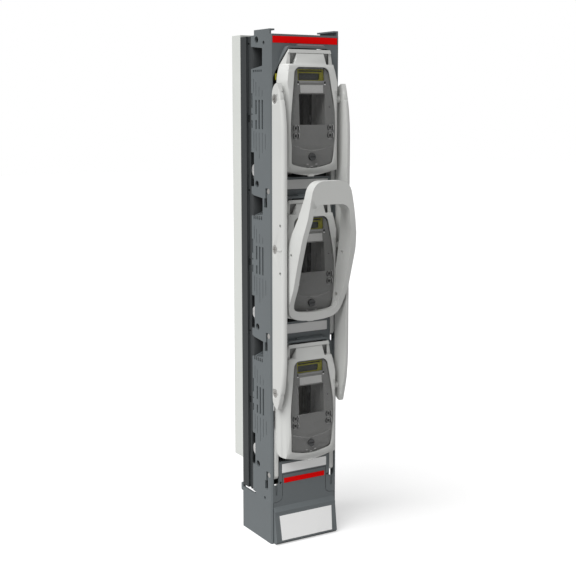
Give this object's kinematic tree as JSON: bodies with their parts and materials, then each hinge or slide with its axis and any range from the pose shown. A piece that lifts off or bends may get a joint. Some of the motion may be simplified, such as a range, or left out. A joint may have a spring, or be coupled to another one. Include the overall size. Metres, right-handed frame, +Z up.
{
  "type": "fuse switch disconnector",
  "caption": "Strip fuse switch disconnector: tall moulded body, hinged fuse lids with smoked windows, linked by side rails and a pull ring, bolted to busbars at the back.",
  "frame": {"origin": "centre of the bolt hole of the middle busbar contact, on the plane where the contact meets the busbar", "axes": "+Z up along the device, +Y from the lids towards the busbars, +X to the right seen from the front"},
  "size_m": [0.1012, 0.164, 0.6617],
  "materials": {
    "shell": "satin moulded thermoplastic",
    "base": "satin moulded thermoplastic",
    "lid": "satin moulded thermoplastic",
    "frame_white": "smooth moulded thermoplastic",
    "smoked": "clear smoked polycarbonate",
    "liner": "satin moulded thermoplastic",
    "latch": "satin moulded thermoplastic",
    "lock": "satin moulded thermoplastic",
    "red": "printed strip",
    "label": "smooth plastic plate",
    "cover_label": "smooth plastic film",
    "contact": "silver-plated copper",
    "steel": "zinc-plated steel",
    "disc": "bright zinc-plated steel"
  },
  "bodies": {
    "housing": {"front_housing": "shell", "pole_insert_1": "base", "pole_insert_2": "base", "pole_insert_3": "base", "rear_base": "base", "rear_frame": "frame_white", "top_strip": "red", "label_plate_1": "label", "label_plate_2": "label", "label_plate_3": "label", "line_contact_1": "contact", "line_contact_2": "contact", "line_contact_3": "contact", "load_contact_1": "contact", "load_contact_2": "contact", "load_contact_3": "contact", "jaw_springs_1": "steel", "jaw_springs_2": "steel", "jaw_springs_3": "steel", "arc_chamber_1": "steel", "arc_chamber_2": "steel", "arc_chamber_3": "steel", "contact_screws": "steel", "side_disc_screws": "disc", "housing_screws": "steel"},
    "lid_1": {"lid_frame_1": "lid", "window_cover_1": "smoked", "lid_liner_1": "liner", "hinge_pins_1": "steel", "pivot_screws_1": "steel"},
    "lid_2": {"lid_frame_2": "lid", "window_cover_2": "smoked", "lid_liner_2": "liner", "hinge_pins_2": "steel", "pivot_screws_2": "steel", "pull_ring": "lid", "ring_screws": "steel"},
    "lid_3": {"lid_frame_3": "lid", "window_cover_3": "smoked", "lid_liner_3": "liner", "hinge_pins_3": "steel", "pivot_screws_3": "steel"},
    "latch_1": {"fuse_latch_1": "latch"},
    "latch_2": {"fuse_latch_2": "latch"},
    "latch_3": {"fuse_latch_3": "latch"},
    "lock_1": {"lid_lock_1": "lock"},
    "lock_2": {"lid_lock_2": "lock"},
    "lock_3": {"lid_lock_3": "lock"},
    "left_rail": {"rail_left": "lid"},
    "right_rail": {"rail_right": "lid"},
    "bottom_cover": {"terminal_cover": "shell", "rating_strip": "red", "cover_label": "cover_label"}
  },
  "joints": [
    {"name": "lid_2_hinge", "type": "hinge", "parent": "housing", "child": "lid_2", "pos_m": [0, -0.0935, -0.1017], "axis": [1, 0, 0], "range_deg": [0, 50]},
    {"name": "lid_1_hinge", "type": "hinge", "parent": "housing", "child": "lid_1", "pos_m": [0, -0.0935, 0.0833], "axis": [1, 0, 0], "range_deg": [0, 50]},
    {"name": "lid_3_hinge", "type": "hinge", "parent": "housing", "child": "lid_3", "pos_m": [0, -0.0935, -0.2867], "axis": [1, 0, 0], "range_deg": [0, 50]},
    {"name": "left_rail_pivot", "type": "hinge", "parent": "lid_2", "child": "left_rail", "pos_m": [-0.047, -0.1095, 0.0119], "axis": [1, 0, 0], "range_deg": [-50, 0]},
    {"name": "right_rail_pivot", "type": "hinge", "parent": "lid_2", "child": "right_rail", "pos_m": [0.047, -0.1095, 0.0119], "axis": [1, 0, 0], "range_deg": [-50, 0]},
    {"name": "latch_1_slide", "type": "slide", "parent": "lid_1", "child": "latch_1", "axis": [0, 0, -1], "range_m": [0, 0.004], "stiffness_N_per_m": 250, "springref_m": -0.002},
    {"name": "latch_2_slide", "type": "slide", "parent": "lid_2", "child": "latch_2", "axis": [0, 0, -1], "range_m": [0, 0.004], "stiffness_N_per_m": 250, "springref_m": -0.002},
    {"name": "latch_3_slide", "type": "slide", "parent": "lid_3", "child": "latch_3", "axis": [0, 0, -1], "range_m": [0, 0.004], "stiffness_N_per_m": 250, "springref_m": -0.002},
    {"name": "lock_1_turn", "type": "hinge", "parent": "lid_1", "child": "lock_1", "pos_m": [0, -0.112, 0.1262], "axis": [0, 1, 0], "range_deg": [0, 90]},
    {"name": "lock_2_turn", "type": "hinge", "parent": "lid_2", "child": "lock_2", "pos_m": [0, -0.112, -0.0588], "axis": [0, 1, 0], "range_deg": [0, 90]},
    {"name": "lock_3_turn", "type": "hinge", "parent": "lid_3", "child": "lock_3", "pos_m": [0, -0.112, -0.2438], "axis": [0, 1, 0], "range_deg": [0, 90]},
    {"name": "bottom_cover_pull", "type": "slide", "parent": "housing", "child": "bottom_cover", "axis": [0, -1, 0], "range_m": [0, 0.1]}
  ],
  "couplings": [
    {"joint": "lid_1_hinge", "follows": "lid_2_hinge", "ratio": 1},
    {"joint": "lid_3_hinge", "follows": "lid_2_hinge", "ratio": 1},
    {"joint": "left_rail_pivot", "follows": "lid_2_hinge", "ratio": -1},
    {"joint": "right_rail_pivot", "follows": "lid_2_hinge", "ratio": -1}
  ]
}
